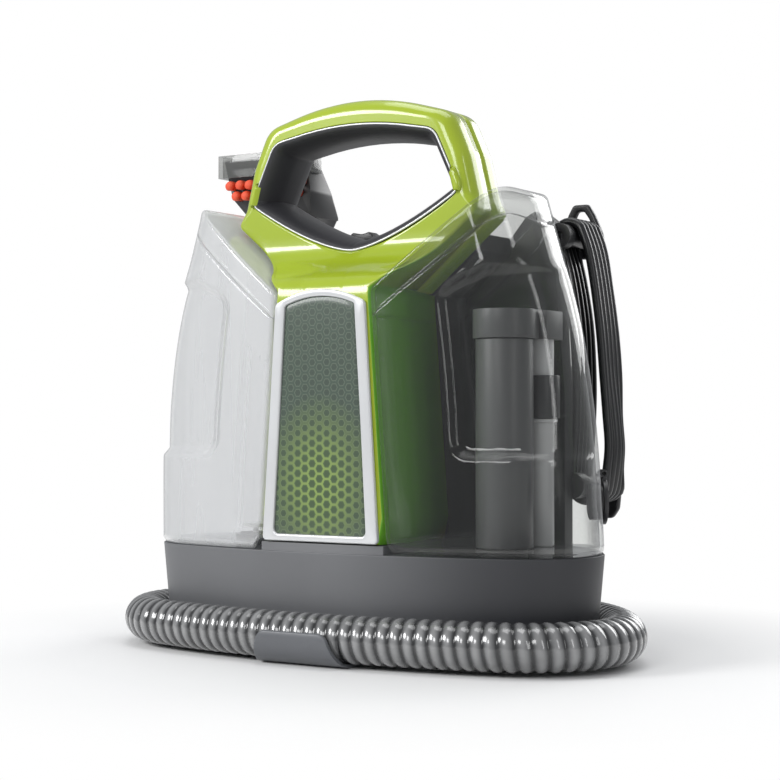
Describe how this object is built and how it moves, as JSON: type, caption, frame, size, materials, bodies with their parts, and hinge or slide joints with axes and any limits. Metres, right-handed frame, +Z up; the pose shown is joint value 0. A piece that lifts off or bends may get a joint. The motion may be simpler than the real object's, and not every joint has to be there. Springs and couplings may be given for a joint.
{
  "type": "spot extractor",
  "caption": "Portable carpet spot extractor with two clear side tanks, arched grip handle, hose wrapped round the base, stowed brush tool and cord hooks.",
  "frame": {"origin": "centre of the body's base outline, on the ground", "axes": "+Z up, +X to the right seen from the front, the front faces -Y"},
  "size_m": [0.3296, 0.2083, 0.316],
  "materials": {
    "green_gloss": "glossy",
    "base_slate": "fine matte",
    "black_plastic": "satin",
    "charcoal_soft": "soft-touch matte",
    "silver_trim": "satin silver paint",
    "badge_face": "printed hexagon pattern, satin",
    "clear_tank": "clear, lightly frosted",
    "smoke_tank": "smoky clear",
    "grey_plastic": "satin",
    "hose_clear": "ribbed, translucent smoke grey",
    "bristle_red": "soft bristles",
    "rubber_black": "matte",
    "steel": "bright zinc",
    "motor_metal": "pressed can",
    "alu": "cast",
    "white_plastic": "natural nylon",
    "cord_black": "satin sheath",
    "wire_red": "insulation",
    "tube_clear": "soft clear tube"
  },
  "bodies": {
    "machine": {"base_tub": "base_slate", "base_plate": "black_plastic", "rubber_feet": "rubber_black", "base_screws": "steel", "hose_clip": "base_slate", "front_housing": "green_gloss", "rear_housing": "grey_plastic", "handle_back_shell": "green_gloss", "handle_grip_liner": "charcoal_soft", "housing_screws": "steel", "badge_frame": "silver_trim", "badge_panel": "badge_face", "power_switch_body": "black_plastic", "exhaust_grille": "black_plastic", "hook_pivot_pin": "steel", "lower_cord_hook": "black_plastic", "power_cord": "cord_black", "cord_strain_relief": "rubber_black", "power_plug": "cord_black", "vacuum_motor": "motor_metal", "fan_housing": "grey_plastic", "motor_mount_rings": "rubber_black", "pump_body": "grey_plastic", "pump_spring": "steel", "heater_block": "alu", "thermostat": "white_plastic", "water_tubes": "tube_clear", "recovery_duct": "black_plastic", "air_duct": "black_plastic", "wiring_harness": "wire_red", "tank_receivers": "rubber_black", "suction_hose": "hose_clear", "hose_port_elbow": "black_plastic", "wand_hose_cuff": "black_plastic", "wand_body": "grey_plastic", "trigger_pin": "steel", "wand_cradle": "black_plastic"},
    "power_rocker": {"power_rocker": "black_plastic"},
    "cord_hook": {"upper_cord_hook": "black_plastic"},
    "motor_rotor": {"motor_shaft": "steel", "impeller": "alu"},
    "pump_piston": {"pump_plunger": "steel"},
    "clean_tank": {"clean_tank_shell": "clear_tank", "clean_tank_top": "clear_tank"},
    "fill_cap": {"clean_fill_cap": "black_plastic", "clean_valve_seal": "rubber_black"},
    "clean_valve": {"clean_valve_stem": "white_plastic"},
    "dirty_tank": {"dirty_tank_shell": "smoke_tank", "dirty_tank_top": "smoke_tank", "inlet_riser": "grey_plastic", "air_tube": "grey_plastic", "separator_hood": "grey_plastic"},
    "float": {"float_ring": "black_plastic"},
    "pour_stopper": {"drain_cap": "black_plastic"},
    "spray_trigger": {"spray_trigger": "green_gloss"},
    "spray_valve": {"spray_valve_stem": "white_plastic"},
    "stain_tool": {"tool_body": "grey_plastic", "tool_window": "clear_tank", "bristle_tufts": "bristle_red"},
    "tool_button": {"tool_release_button": "green_gloss"}
  },
  "joints": [
    {"name": "power_switch", "type": "hinge", "parent": "machine", "child": "power_rocker", "pos_m": [-0.024, 0.01, 0.236], "axis": [0, 1, 0], "range_deg": [-8, 8]},
    {"name": "cord_release", "type": "hinge", "parent": "machine", "child": "cord_hook", "pos_m": [0.0852, 0.073, 0.2415], "axis": [0, 1, 0], "range_deg": [0, 180]},
    {"name": "motor_spin", "type": "hinge", "parent": "machine", "child": "motor_rotor", "pos_m": [0, 0.02, 0.145], "axis": [0, 1, 0], "continuous": true},
    {"name": "pump_stroke", "type": "slide", "parent": "machine", "child": "pump_piston", "axis": [1, 0, 0], "range_m": [-0.003, 0.003]},
    {"name": "clean_tank_lift", "type": "slide", "parent": "machine", "child": "clean_tank", "axis": [-0.866, 0, 0.5], "range_m": [0, 0.2]},
    {"name": "fill_cap_turn", "type": "hinge", "parent": "clean_tank", "child": "fill_cap", "pos_m": [-0.09, -0.01, 0.06], "axis": [0, 0, 1], "range_deg": [0, 90]},
    {"name": "tank_valve", "type": "slide", "parent": "fill_cap", "child": "clean_valve", "axis": [0, 0, 1], "range_m": [-0.0029, 0]},
    {"name": "dirty_tank_lift", "type": "slide", "parent": "machine", "child": "dirty_tank", "axis": [0.866, 0, 0.5], "range_m": [0, 0.2]},
    {"name": "float_rise", "type": "slide", "parent": "dirty_tank", "child": "float", "axis": [0, 0, 1], "range_m": [0, 0.0195]},
    {"name": "pour_stopper_open", "type": "hinge", "parent": "dirty_tank", "child": "pour_stopper", "pos_m": [0.12759, 0.01975, 0.1035], "axis": [0.5736, -0.8192, 0], "range_deg": [0, 80]},
    {"name": "trigger_pull", "type": "hinge", "parent": "machine", "child": "spray_trigger", "pos_m": [-0.10397, 0.04462, 0.192], "axis": [1, 0, 0], "range_deg": [0, 5.5]},
    {"name": "spray_valve_push", "type": "slide", "parent": "machine", "child": "spray_valve", "axis": [0, 1, 0], "range_m": [0, 0.0028]},
    {"name": "tool_pull_off", "type": "slide", "parent": "machine", "child": "stain_tool", "axis": [0, 0, 1], "range_m": [0, 0.1]},
    {"name": "tool_release", "type": "slide", "parent": "stain_tool", "child": "tool_button", "axis": [0, -1, 0], "range_m": [0, 0.0014]}
  ],
  "couplings": [
    {"joint": "spray_valve_push", "follows": "trigger_pull", "m_per_rad": 0.027}
  ]
}
